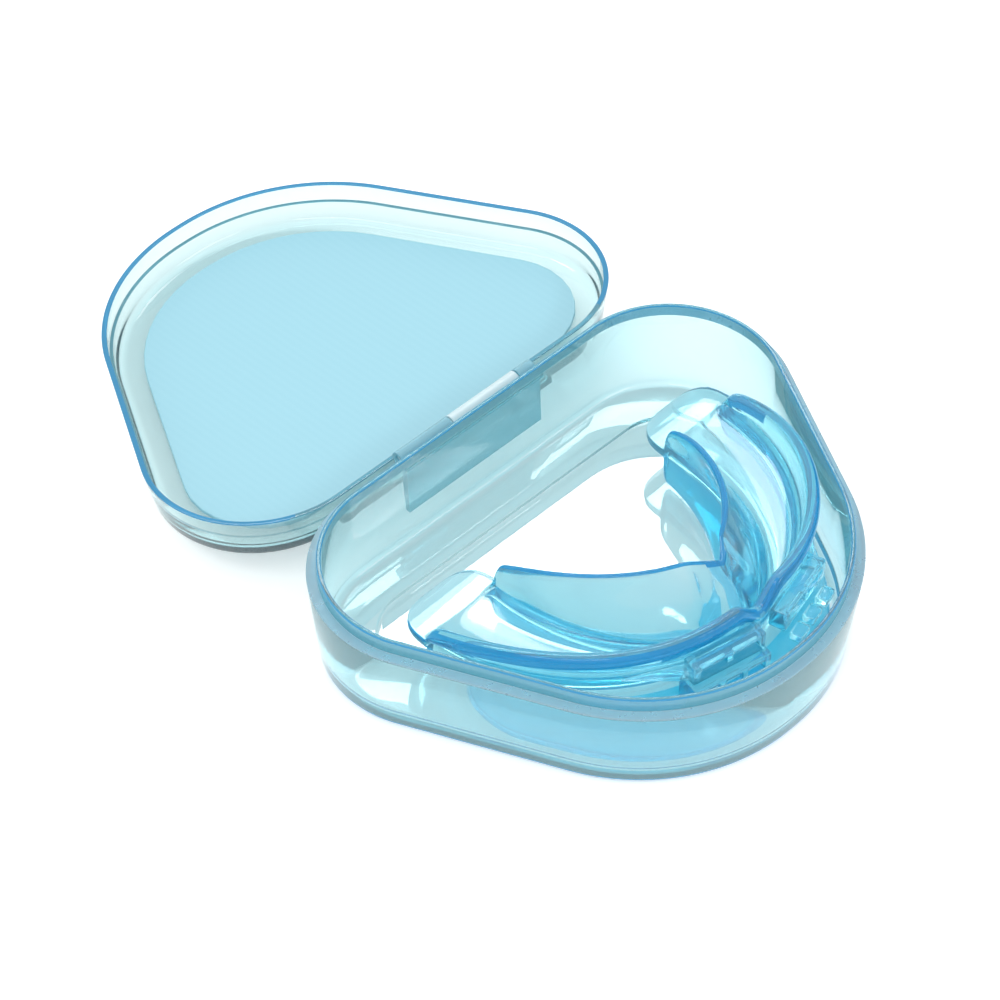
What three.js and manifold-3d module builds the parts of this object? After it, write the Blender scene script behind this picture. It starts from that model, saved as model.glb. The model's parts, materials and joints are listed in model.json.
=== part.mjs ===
// A clear hinged case, shown open, with a moulded two-arch mouthguard standing in its base.
// Millimetres, +Z up, the surface that everything rests on is Z = 0.
// X runs along the hinge, the base lies towards -Y and the opened lid towards +Y.
import * as THREE from 'three';
import { mergeVertices } from 'three/addons/utils/BufferGeometryUtils.js';
import Module from 'manifold-3d';

// ---- driving dimensions: the D-shaped outline that base and lid share
const CASE_WIDTH = 80;
const BACK_RADIUS = 17.4;
const FRONT_RADIUS = 29.8;
const FRONT_CENTRE_X = 0.6;
const FRONT_CENTRE_Y = -33.2;
const ARC_STEPS = 9;

// ---- base tub
const LEDGE_Z = 14.7;
const LIP_HEIGHT = 2.3;
const LIP_INSET = 1.45;
const LIP_THICKNESS = 0.65;
const BASE_DRAFT = 1.0;
const BASE_FLOOR = 1.4;
const PANEL_INSET = 9.0;
const PANEL_STEP = 0.4;

// ---- lid tray, measured upwards from its rim when it is closed
const LID_HEIGHT = 7.2;
const LID_INSET = 0.45;
const LID_RIM_THICKNESS = 0.8;
const LID_WALL = 1.25;
const LID_DRAFT = 1.0;
const LID_TOP = 1.2;
const REBATE_DEPTH = 2.95;
const SEAM_GAP = 0.15;

// ---- hinge
const BACK_GAP = 0.7;
const AXIS_BELOW_LEDGE = 0.6;
const AXIS_Z = LEDGE_Z - AXIS_BELOW_LEDGE;
const BARREL_RADIUS = 1.1;
const BORE_RADIUS = 0.68;
const PIN_RADIUS = 0.4;
const BARREL_CLEARANCE = 1.4;
const HINGE_HALF = 12.8;
const LID_KNUCKLE = [-2.9, 9.6];
const KNUCKLE_GAP = 0.3;
const LEAF_BOTTOM_Z = 4.7;
const LEAF_THICKNESS = 0.8;
const LEAF_GAP = 0.15;

// ---- liner sheet in the lid
const LINER_INSET = 5.2;
const LINER_WIDTH_SHARE = 0.98;
const LINER_DEPTH_SHARE = 0.985;
const LINER_THICKNESS = 0.5;
const LINER_GAP = 0.3;

// ---- mouthguard
const GUARD_X = 2.1;
const GUARD_Y = -21.2;
const GUARD_TURN = 2 * Math.PI / 180;
const GUARD_FLOOR_GAP = 0.3;
const OUTER_ARCH = { halfWidth: 31.1, depth: 32.4, squareness: 2.08 };
const INNER_ARCH = { halfWidth: 16.6, depth: 21.6, squareness: 1.7 };
const TAB_LENGTH = 6.0;
const WEB_Z_BACK = 7.5;
const WEB_Z_FRONT = 8.5;
const WEB_HALF = 0.7;
const OUTER_TOP = [10.2, 16.2];
const INNER_TOP = [11.4, 18.6];
const SKIRT_GROWTH = 8.8;
const SKIRT_TUCK = 0.7;
const SKIRT_WALL_GAP = 1.4;
const FRONT_NOTCH = { depth: 3.4, halfWidth: 3.8 };
const FOLD_DEPTH = 2.6;

const wasm = await Module();
wasm.setup();

function toSolid(geometry) {
  const bare = geometry.clone();
  bare.deleteAttribute('normal');
  bare.deleteAttribute('uv');
  const merged = mergeVertices(bare, 1e-5);
  return new wasm.Manifold(new wasm.Mesh({
    numProp: 3,
    vertProperties: new Float32Array(merged.attributes.position.array),
    triVerts: new Uint32Array(merged.index.array),
  }));
}

function toGeometry(solid) {
  const mesh = solid.getMesh();
  const geometry = new THREE.BufferGeometry();
  geometry.setAttribute('position', new THREE.BufferAttribute(new Float32Array(mesh.vertProperties), 3));
  geometry.setIndex(new THREE.BufferAttribute(new Uint32Array(mesh.triVerts), 1));
  return geometry;
}

// A closed skin over a stack of rings that all have the same number of points.
// The flatten functions map an end ring's points to 2-D, so that the ring can be capped.
function loft(rings, flattenFirst, flattenLast) {
  const count = rings[0].length;
  const positions = rings.flat().flatMap((p) => [p.x, p.y, p.z]);
  const index = [];
  for (let r = 0; r + 1 < rings.length; r += 1) {
    for (let i = 0; i < count; i += 1) {
      const a = r * count + i;
      const b = r * count + (i + 1) % count;
      index.push(a, b, b + count, a, b + count, a + count);
    }
  }
  const lastRing = (rings.length - 1) * count;
  const firstCap = THREE.ShapeUtils.triangulateShape(rings[0].map(flattenFirst), []);
  const lastCap = THREE.ShapeUtils.triangulateShape(rings.at(-1).map(flattenLast), []);
  firstCap.forEach(([a, b, c]) => index.push(a, c, b));
  lastCap.forEach(([a, b, c]) => index.push(lastRing + a, lastRing + b, lastRing + c));
  const geometry = new THREE.BufferGeometry();
  geometry.setAttribute('position', new THREE.Float32BufferAttribute(positions, 3));
  geometry.setIndex(index);
  return geometry;
}

// The outline is two back corners and two front corners joined by straight sides.
// Its straight back edge lies at y = -BACK_GAP when nothing is inset.
function outline(inset) {
  const cornerX = CASE_WIDTH / 2 - BACK_RADIUS;
  const reachX = FRONT_CENTRE_X - cornerX;
  const reachY = FRONT_CENTRE_Y + BACK_RADIUS;
  const lean = Math.acos((BACK_RADIUS - FRONT_RADIUS) / Math.hypot(reachX, reachY));
  const side = Math.atan2(reachY, reachX) + lean;
  const backY = -BACK_RADIUS - BACK_GAP;
  const frontY = FRONT_CENTRE_Y - BACK_GAP;
  const corners = [
    [cornerX, backY, BACK_RADIUS, side, Math.PI / 2],
    [-cornerX, backY, BACK_RADIUS, Math.PI / 2, Math.PI - side],
    [-FRONT_CENTRE_X, frontY, FRONT_RADIUS, Math.PI - side, 1.5 * Math.PI],
    [FRONT_CENTRE_X, frontY, FRONT_RADIUS, -Math.PI / 2, side],
  ];
  const points = [];
  for (const [x, y, radius, from, to] of corners) {
    for (let i = 0; i <= ARC_STEPS; i += 1) {
      const angle = from + (to - from) * i / ARC_STEPS;
      const r = radius - inset;
      points.push(new THREE.Vector2(x + r * Math.cos(angle), y + r * Math.sin(angle)));
    }
  }
  return points;
}

// A tray skin: each step is [inset, z], from the middle of one face round the wall to the other.
function tray(steps) {
  const rings = steps.map(([inset, z]) => outline(inset).map((p) => new THREE.Vector3(p.x, p.y, z)));
  const seenFromAbove = (p) => new THREE.Vector2(p.x, p.y);
  return loft(rings, seenFromAbove, seenFromAbove);
}

function rodAlongX(radius, fromX, toX, y, z, sides = 24) {
  const geometry = new THREE.CylinderGeometry(radius, radius, toX - fromX, sides);
  geometry.rotateZ(Math.PI / 2);
  geometry.translate((fromX + toX) / 2, y, z);
  return geometry;
}

// A polygon in the Y-Z plane, drawn out along X.
function prismAlongX(points, fromX, toX) {
  const shape = new THREE.Shape(points.map(([y, z]) => new THREE.Vector2(y, z)));
  const geometry = new THREE.ExtrudeGeometry(shape, { depth: toX - fromX, bevelEnabled: false });
  geometry.applyMatrix4(new THREE.Matrix4().makeBasis(
    new THREE.Vector3(0, 1, 0), new THREE.Vector3(0, 0, 1), new THREE.Vector3(1, 0, 0)));
  geometry.translate(fromX, 0, 0);
  return geometry;
}

function block(minimum, maximum) {
  const size = maximum.map((value, i) => value - minimum[i]);
  const geometry = new THREE.BoxGeometry(...size);
  geometry.translate(...minimum.map((value, i) => value + size[i] / 2));
  return geometry;
}

// ---- case base: drafted tub, ledge all round, upright lip, shallow raised panel in the floor
function caseBase() {
  const lipTop = LEDGE_Z + LIP_HEIGHT;
  const lipInner = LIP_INSET + LIP_THICKNESS;
  const skin = tray([
    [BASE_DRAFT + 1.2, 0],
    [BASE_DRAFT + 0.4, 0.25],
    [BASE_DRAFT, 1.0],
    [0.1, LEDGE_Z - 1.6],
    [0, LEDGE_Z - 0.3],
    [0.25, LEDGE_Z],
    [LIP_INSET, LEDGE_Z],
    [LIP_INSET, lipTop - 0.25],
    [LIP_INSET + 0.25, lipTop],
    [lipInner - 0.2, lipTop],
    [lipInner, lipTop - 0.2],
    [lipInner + 0.2, 4.0],
    [lipInner + 0.5, 2.4],
    [lipInner + 1.1, BASE_FLOOR + 0.2],
    [lipInner + 1.9, BASE_FLOOR],
    [PANEL_INSET, BASE_FLOOR],
    [PANEL_INSET + 0.4, BASE_FLOOR - PANEL_STEP],
  ]);
  const notch = rodAlongX(BARREL_CLEARANCE, -HINGE_HALF - 0.3, HINGE_HALF + 0.3, 0, AXIS_Z);
  return toGeometry(toSolid(skin).subtract(toSolid(notch)));
}

// ---- case lid, drawn closed: rim downwards on the ledge, rebate over the lip, one hinge knuckle
function caseLid() {
  const rimZ = LEDGE_Z + SEAM_GAP;
  const inner = LID_INSET + LID_RIM_THICKNESS;
  const step = LID_INSET + LID_WALL;
  const ceiling = rimZ + LID_HEIGHT - LID_TOP;
  const skin = tray([
    [step + 3.4, ceiling],
    [step + 1.9, ceiling - 0.15],
    [step + 0.9, ceiling - 1.0],
    [step + 0.35, ceiling - 2.0],
    [step, rimZ + REBATE_DEPTH + 0.1],
    [step - 0.1, rimZ + REBATE_DEPTH],
    [inner, rimZ + REBATE_DEPTH],
    [inner, rimZ + 0.1],
    [inner - 0.1, rimZ],
    [LID_INSET + 0.1, rimZ],
    [LID_INSET, rimZ + 0.15],
    [LID_INSET + LID_DRAFT, rimZ + LID_HEIGHT - 1.3],
    [LID_INSET + LID_DRAFT + 0.4, rimZ + LID_HEIGHT - 0.35],
    [LID_INSET + LID_DRAFT + 1.3, rimZ + LID_HEIGHT],
  ]);
  const notch = rodAlongX(BARREL_CLEARANCE, -HINGE_HALF - 0.3, HINGE_HALF + 0.3, 0, AXIS_Z);
  const arm = prismAlongX([
    [-1.62, AXIS_Z + 0.85],
    [-0.9, AXIS_Z + 0.6],
    [-0.35, AXIS_Z + 1.0],
    [-0.75, AXIS_Z + 1.6],
    [-0.85, AXIS_Z + 2.8],
    [-1.3, AXIS_Z + 3.4],
    [-1.62, AXIS_Z + 3.4],
  ], ...LID_KNUCKLE);
  const knuckle = rodAlongX(BARREL_RADIUS, ...LID_KNUCKLE, 0, AXIS_Z);
  const bore = rodAlongX(BORE_RADIUS, LID_KNUCKLE[0] - 1, LID_KNUCKLE[1] + 1, 0, AXIS_Z, 16);
  return toGeometry(toSolid(skin)
    .subtract(toSolid(notch))
    .add(toSolid(arm))
    .add(toSolid(knuckle))
    .subtract(toSolid(bore)));
}

// ---- hinge leaf on the outside of the base's back wall, with the two outer knuckles
function hingeLeaf() {
  const wallLean = (BASE_DRAFT - 0.1) / (LEDGE_Z - 2.6);
  const wallY = (z) => -BACK_GAP - 0.1 - wallLean * (LEDGE_Z - 1.6 - z);
  const topZ = AXIS_Z - 0.45;
  const plate = prismAlongX([
    [wallY(topZ) + LEAF_GAP, topZ],
    [wallY(LEAF_BOTTOM_Z) + LEAF_GAP, LEAF_BOTTOM_Z],
    [wallY(LEAF_BOTTOM_Z) + LEAF_GAP + LEAF_THICKNESS, LEAF_BOTTOM_Z],
    [wallY(topZ) + LEAF_GAP + LEAF_THICKNESS, topZ],
  ], -HINGE_HALF, HINGE_HALF);
  const room = rodAlongX(BARREL_CLEARANCE, LID_KNUCKLE[0] - KNUCKLE_GAP, LID_KNUCKLE[1] + KNUCKLE_GAP, 0, AXIS_Z);
  const left = rodAlongX(BARREL_RADIUS, -HINGE_HALF, LID_KNUCKLE[0] - KNUCKLE_GAP, 0, AXIS_Z);
  const right = rodAlongX(BARREL_RADIUS, LID_KNUCKLE[1] + KNUCKLE_GAP, HINGE_HALF, 0, AXIS_Z);
  const bore = rodAlongX(BORE_RADIUS, -HINGE_HALF - 1, HINGE_HALF + 1, 0, AXIS_Z, 16);
  return toGeometry(toSolid(plate)
    .subtract(toSolid(room))
    .add(toSolid(left))
    .add(toSolid(right))
    .subtract(toSolid(bore)));
}

function hingePin() {
  return rodAlongX(PIN_RADIUS, -HINGE_HALF + 0.3, HINGE_HALF - 0.3, 0, AXIS_Z, 16);
}

// ---- liner sheet, drawn where it lies under the closed lid's ceiling
function lidLiner() {
  const top = LEDGE_Z + SEAM_GAP + LID_HEIGHT - LID_TOP - LINER_GAP;
  const nearEdge = -BACK_GAP - LINER_INSET;
  return tray([
    [LINER_INSET + 0.1, top - LINER_THICKNESS],
    [LINER_INSET, top - LINER_THICKNESS + 0.1],
    [LINER_INSET, top],
  ]).translate(0, -nearEdge, 0).scale(LINER_WIDTH_SHARE, LINER_DEPTH_SHARE, 1).translate(0, nearEdge, 0);
}

// ---- mouthguard: two facing channels on one bite web, drawn round two arches
const mix = (a, b, share) => a + (b - a) * share;

// A point on an arch: turn 0 is an arm's end and a quarter turn is the front.
function archPoint({ halfWidth, depth, squareness }, turn) {
  return new THREE.Vector2(
    halfWidth * Math.max(Math.cos(turn), 0) ** (2 / squareness), -depth * Math.sin(turn) ** (2 / squareness));
}

// The inner wall is folded forwards in a leaf-shaped ridge at the very front.
function frontFold(x, z, webZ, top, front) {
  if (front < 0.7 || Math.abs(top - webZ) < 1) return 0;
  const height = Math.max(0, Math.min(1, (z - webZ) / (top - webZ)));
  const leaf = Math.sin(Math.PI * Math.min(1, (1 - height) * 1.15 + 0.02)) ** 0.7;
  const across = Math.abs(x) / mix(2.2, 8.5, leaf);
  if (across >= 1) return 0;
  return -FOLD_DEPTH * (height > 0.9 ? 1 - across : (1 - across ** 2) ** 0.6);
}

// How far a point lies inside the case outline, measured at its front corners and sides.
function roomInCase(x, y) {
  const cornerX = CASE_WIDTH / 2 - BACK_RADIUS;
  const reach = new THREE.Vector2(FRONT_CENTRE_X - cornerX, FRONT_CENTRE_Y + BACK_RADIUS);
  const side = Math.atan2(reach.y, reach.x) + Math.acos((BACK_RADIUS - FRONT_RADIUS) / reach.length());
  const fromCentre = new THREE.Vector2(Math.max(0, Math.abs(x) - FRONT_CENTRE_X), y - FRONT_CENTRE_Y + BACK_GAP);
  const onCorner = fromCentre.x * Math.sin(side) - fromCentre.y * Math.cos(side) > 0;
  const reached = fromCentre.x * Math.cos(side) + fromCentre.y * Math.sin(side);
  return FRONT_RADIUS - (onCorner ? fromCentre.length() : reached);
}

// One closed section. back is 1 at the tip of an arm's flat tab and 0 where the walls start.
// Each step is [arch, distance in from it at a wall, distance in from it on the flat tab, z, z on the tab].
function archSection({ back, turn }, side) {
  const outer = archPoint(OUTER_ARCH, turn);
  const inner = archPoint(INNER_ARCH, turn);
  const gap = outer.distanceTo(inner);
  const inward = inner.clone().sub(outer).normalize();
  const middle = outer.clone().lerp(inner, 0.5);
  const front = Math.sin(turn);
  const webZ = mix(WEB_Z_BACK, WEB_Z_FRONT, front);
  const ending = Math.min(turn * 30 / 1.6, 1);
  const rise = back > 0 ? 0 : Math.sqrt(1 - (1 - ending) ** 2);
  const notch = FRONT_NOTCH.depth * Math.max(0, 1 - Math.abs(outer.x) / FRONT_NOTCH.halfWidth) ** 0.8;
  const outerTop = mix(...OUTER_TOP, 1 - (1 - front) ** 2.3) + 1.3 * front ** 12 - notch;
  const innerTop = mix(...INNER_TOP, front ** 0.65);
  const bottom = BASE_FLOOR + GUARD_FLOOR_GAP;
  const lean = 0.9 * front;
  const foot = 1.3 + 6.3 * front ** 1.4;
  const tongue = Math.max(0, foot - 2.1);
  const outerFoot = 2.3 + lean / 2;
  const floorWidth = gap - foot - outerFoot;
  const narrowing = (1 - back ** 3) ** (1 / 2.4);
  const thinning = 1 - back ** 6;

  const placed = (point) => new THREE.Vector2(side * point.x, point.y)
    .rotateAround(new THREE.Vector2(), GUARD_TURN).add(new THREE.Vector2(GUARD_X, GUARD_Y));
  const room = roomInCase(...placed(outer)) - LIP_INSET - LIP_THICKNESS - SKIRT_WALL_GAP;
  const skirt = Math.min(SKIRT_GROWTH * front - SKIRT_TUCK, room + 0.3);

  // Each half: way up or down, end of the outer wall and three heights below its end, end of the inner
  // wall, fullness of the bead, and how far the outer wall spreads towards the case.
  const halves = [
    [1, [outerTop, outerTop - 0.3, outerTop - 1.4, outerTop - 2.8], innerTop, 1, 0],
    [-1, [bottom, bottom + 0.15, bottom + 1.0, mix(webZ, bottom, 0.5)], bottom, 0.45, skirt],
  ];
  const [upper, lower] = halves.map(([way, [outerEnd, near, high, low], innerEnd, bead, spread]) => {
    const face = webZ + way * WEB_HALF;
    const innerFoot = face + way * 0.4;
    const steps = [
      [outer, 0.9 + lean, 0, webZ, webZ],
      [outer, 0.4 + 0.6 * (1 - bead) + lean / 2 - spread * 0.45, 0.3, low, face],
      [outer, 0.6 - 0.65 * bead - spread * 0.85, 0.6, high, face],
      [outer, 0.7 - 0.45 * bead - spread, 0.9, near, face],
      [outer, 1.15 - spread, 1.3, outerEnd, face],
      [outer, 1.6 + 0.45 * bead - spread * 0.6, 1.7, near, face],
      [outer, 1.75 + 0.6 * bead - spread * 0.3, 2.1, high, face],
      [outer, 2.0 + 0.1 * bead - spread * 0.1, 2.5, low, face],
      [outer, outerFoot, 2.9, face + way * 1.1, face],
      [outer, outerFoot + Math.min(1.4, 0.35 * floorWidth), 3.9, face, face],
      [inner, foot + Math.min(0.9, 0.35 * floorWidth), 4.0, face, face],
      [inner, foot, 3.2, innerFoot, face],
      [inner, mix(foot, 1.3, 0.5), 2.4, mix(innerFoot, innerEnd - way * 1.2, 0.47), face],
      [inner, 1.25, 1.4, innerEnd - way * 0.9, face],
      [inner, 0.5, 0.8, innerEnd, face],
      [inner, -0.1, 0.3, innerEnd - way, face],
      [inner, 0.45 * tongue, 0.1, mix(webZ, innerEnd, 0.5), face],
      [inner, tongue, 0, webZ, webZ],
    ];
    return steps.map(([arch, atWall, onTab, wallZ, tabZ]) => {
      const distance = mix(onTab, atWall, rise);
      const z = mix(tabZ, wallZ, rise);
      const point = arch.clone().addScaledVector(inward, arch === outer ? distance : -distance);
      if (arch === inner) point.y += frontFold(point.x, z, webZ, innerEnd, front);
      point.sub(middle).multiplyScalar(mix(0.12, 1, narrowing)).add(middle);
      point.y += back * TAB_LENGTH;
      return new THREE.Vector3(...placed(point), mix(webZ, z, thinning));
    });
  });
  return [...upper, ...lower.slice(1, -1).reverse()];
}

// Turns a shape about its own middle, sets it on the front of the arch and turns it with the guard.
function onGuard(geometry, x, y, turn) {
  return geometry.rotateZ(turn).translate(x, y, 0).rotateZ(GUARD_TURN).translate(GUARD_X, GUARD_Y, 0);
}

function mouthguard() {
  const tab = [0.97, 0.86, 0.66, 0.4, 0.12, 0].map((back) => ({ back, turn: 0 }));
  const walls = [0.4, 1.4, 3, 6, 11, 17, 24, 31, 38, 45, 52, 59, 65, 71, 76, 80, 83.5, 87, 90]
    .map((degrees) => ({ back: 0, turn: THREE.MathUtils.degToRad(degrees) }));
  const arm = [...tab, ...walls];
  const rings = [
    ...arm.map((station) => archSection(station, 1)),
    ...arm.slice(0, -1).reverse().map((station) => archSection(station, -1)),
  ];
  const seenFromBack = (p) => new THREE.Vector2(p.x, p.z);
  const seenMirrored = (p) => new THREE.Vector2(-p.x, p.z);
  const added = [toSolid(loft(rings, seenFromBack, seenMirrored))];
  const slots = [];
  for (const side of [-1, 1]) {
    const turn = side * THREE.MathUtils.degToRad(13);
    const put = (shape) => toSolid(onGuard(shape, side * 7.2, -31.6, turn));
    added.push(put(block([-5.8, -1.8, 10.3], [5.8, 0.8, 13.7])), put(block([-6.2, -2.8, 5.7], [6.2, 1.0, 10.3])));
    for (const x of [-2.6, 2.6]) slots.push(put(block([x - 2.15, -2.4, 11.6], [x + 2.15, -0.95, 13.0])));
    for (const x of [-3.4, 0.2, 3.8]) slots.push(put(block([x - 1.45, -3.8, 7.8], [x + 1.45, -1.95, 9.3])));
    const tail = new THREE.CylinderGeometry(0.15, 1.5, 10, 16);
    tail.rotateZ(-side * Math.PI / 2).translate(0, 0, 10.6);
    added.push(toSolid(onGuard(tail, side * 15.2, -27.6, side * THREE.MathUtils.degToRad(36))));
  }
  const whole = added.reduce((solid, other) => solid.add(other));
  return toGeometry(slots.reduce((solid, slot) => solid.subtract(slot), whole));
}

// ---- materials
const clearPlastic = (color, roughness) => new THREE.MeshStandardMaterial({ color, roughness, metalness: 0 });
const caseMaterial = clearPlastic(0xbfe6ea, 0.08);
const lidMaterial = clearPlastic(0xb4e2ea, 0.08);
const leafMaterial = clearPlastic(0x76bace, 0.15);
const linerMaterial = clearPlastic(0xaee0ee, 0.45);
const guardMaterial = clearPlastic(0x4fc3ea, 0.12);
const pinMaterial = new THREE.MeshStandardMaterial({ color: 0xc8d2d8, roughness: 0.3, metalness: 1 });

function part(name, geometry, material) {
  const mesh = new THREE.Mesh(geometry, material);
  mesh.name = name;
  return mesh;
}

// The lid swings past half a turn until its far edge rests on the surface.
function openAngle() {
  const reach = BACK_GAP - FRONT_CENTRE_Y + FRONT_RADIUS - LID_INSET - LID_DRAFT - 1.3;
  const depth = AXIS_BELOW_LEDGE + SEAM_GAP + LID_HEIGHT;
  const clearOfSurface = 0.05;
  const distance = Math.hypot(reach, depth);
  return Math.PI + Math.asin((AXIS_Z - clearOfSurface) / distance) - Math.atan2(depth, reach);
}

const lid = new THREE.Group();
lid.add(
  part('case_lid', caseLid().translate(0, 0, -AXIS_Z), lidMaterial),
  part('lid_liner', lidLiner().translate(0, 0, -AXIS_Z), linerMaterial),
);
lid.position.z = AXIS_Z;
lid.rotation.x = -openAngle();

const product = new THREE.Group();
product.add(
  part('case_base', caseBase(), caseMaterial),
  part('hinge_leaf', hingeLeaf(), leafMaterial),
  part('hinge_pin', hingePin(), pinMaterial),
  part('mouthguard', mouthguard(), guardMaterial),
  lid,
);
product.updateMatrixWorld(true);
const extent = new THREE.Box3().setFromObject(product, true);
product.position.y = -(extent.min.y + extent.max.y) / 2;

export default product;
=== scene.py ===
"""A clear hinged case lying open, with a glossy blue two-arch mouthguard standing in its base."""

import json
import math

import bmesh
import bpy
from mathutils import Matrix, Vector


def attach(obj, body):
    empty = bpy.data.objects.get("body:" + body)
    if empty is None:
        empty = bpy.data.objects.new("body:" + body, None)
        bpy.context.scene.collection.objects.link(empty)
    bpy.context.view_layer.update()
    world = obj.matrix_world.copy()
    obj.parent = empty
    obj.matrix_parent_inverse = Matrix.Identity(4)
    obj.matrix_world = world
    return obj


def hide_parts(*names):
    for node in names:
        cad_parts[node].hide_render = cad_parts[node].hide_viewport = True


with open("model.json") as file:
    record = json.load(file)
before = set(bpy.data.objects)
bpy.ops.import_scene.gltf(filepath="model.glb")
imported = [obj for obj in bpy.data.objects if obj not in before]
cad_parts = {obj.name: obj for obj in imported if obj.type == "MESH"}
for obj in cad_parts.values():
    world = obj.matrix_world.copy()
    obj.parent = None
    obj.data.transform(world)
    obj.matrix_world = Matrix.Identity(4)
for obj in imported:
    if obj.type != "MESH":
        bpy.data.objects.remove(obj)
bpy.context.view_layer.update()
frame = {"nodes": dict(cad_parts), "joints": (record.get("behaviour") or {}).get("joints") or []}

MM = 0.001
UP = Vector((0, 0, 1))

# ---------------------------------------------------------------- sizes in millimetres
# The D-shaped outline has two small corners by the hinge and two large ones at the front.
CASE_WIDTH = 80.0
BACK_RADIUS = 17.4
FRONT_RADIUS = 29.8
FRONT_CENTRE_X = 0.6
FRONT_CENTRE_Y = -33.2
BACK_GAP = 0.7
CORNER_STEPS = 40

# The base: insets from the outline, heights above the table.
LEDGE_Z = 14.7
LIP_TOP = 17.0
LIP_INSET = 1.45
LIP_INNER = 2.1
BASE_FLOOR = 1.4
FOOT_INSET = 1.1
FLOOR_INSET = 2.4
PANEL_INSET = 9.0
PANEL_DEPTH = 0.4
BASE_MIDDLE_Y = -31.0

# The lid, drawn shut: insets from the outline, heights above its rim.
LID_INSET = 0.45
LID_RIM_INNER = 1.25
LID_WALL_INNER = 1.7
LID_HEIGHT = 7.2
LID_CEILING = 6.0
REBATE_DEPTH = 2.95
RIM_Z = LEDGE_Z + 0.15
LID_LEAN = 1.1
CEILING_LEAN = 0.4
LID_MIDDLE_INSET = 9.0

# The hinge: radii about its line, and how far its parts reach along it.
BARREL_RADIUS = 1.1
BARREL_CLEARANCE = 1.4
PIN_BORE_RADIUS = 0.68
HINGE_HALF = 12.8
HINGE_END_GAP = 0.3
LID_KNUCKLE = (-2.9, 9.6)

# ---------------------------------------------------------------- places from the frame
lid_joint = next(joint for joint in frame["joints"] if joint["name"] == "lid_hinge")
HINGE = Vector(lid_joint["pos_m"])
OPEN_ANGLE = math.radians(lid_joint["range_deg"][1])

# The straight side joins a back corner to a front one, and SIDE_ANGLE is the way that it faces.
BACK_CORNER_X = CASE_WIDTH / 2 - BACK_RADIUS
CORNER_TO_CORNER = Vector((FRONT_CENTRE_X - BACK_CORNER_X, FRONT_CENTRE_Y + BACK_RADIUS))
SIDE_ANGLE = (math.atan2(CORNER_TO_CORNER.y, CORNER_TO_CORNER.x)
              + math.acos((BACK_RADIUS - FRONT_RADIUS) / CORNER_TO_CORNER.length))


def place(x, y, z):
    """A point given in millimetres from the hinge line's middle, at height z above the table."""
    return Vector((x * MM, HINGE.y + y * MM, z * MM))


# ---------------------------------------------------------------- making and finishing pieces
def as_object(name, bm):
    """Sets a bmesh down in the scene as an object at the origin."""
    mesh = bpy.data.meshes.new(name)
    bm.to_mesh(mesh)
    bm.free()
    made = bpy.data.objects.new(name, mesh)
    bpy.context.scene.collection.objects.link(made)
    return made


def discard(work):
    """Takes a work object and its mesh out of the file."""
    mesh = work.data
    bpy.data.objects.remove(work)
    bpy.data.meshes.remove(mesh)


def worked(work):
    """The shape that a work object's modifiers give it, as a bmesh. The object goes."""
    depsgraph = bpy.context.evaluated_depsgraph_get()
    result = bmesh.new()
    result.from_mesh(work.evaluated_get(depsgraph).to_mesh())
    discard(work)
    return result


def finished(name, bm, body, material, smooth_angle=40, zones=()):
    """Turns a bmesh into a piece that rides on a body, shaded smooth where it bends gently.

    zones are (material, test) pairs: a face that passes the test takes that material.
    """
    for face in bm.faces:
        face.smooth = True
        face.material_index = 0
        for i, (_, test) in enumerate(zones, 1):
            if test(face):
                face.material_index = i
    for edge in bm.edges:
        edge.smooth = edge.calc_face_angle(0) < math.radians(smooth_angle)
    piece = as_object(name, bm)
    for each in (material, *(zone[0] for zone in zones)):
        piece.data.materials.append(each)
    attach(piece, body)
    return piece


def corner_path():
    """The D-shaped outline as turns about corner centres: (centre, angle it turns through)."""
    back_turn = math.pi / 2 - SIDE_ANGLE
    front_turn = math.pi / 2 + SIDE_ANGLE
    back_y = -BACK_RADIUS - BACK_GAP
    front_y = FRONT_CENTRE_Y - BACK_GAP
    return [
        (Vector((-BACK_CORNER_X, back_y)), back_turn),
        (Vector((-FRONT_CENTRE_X, front_y)), front_turn),
        (Vector((FRONT_CENTRE_X, front_y)), front_turn),
        (Vector((BACK_CORNER_X, back_y)), back_turn),
    ]


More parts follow.
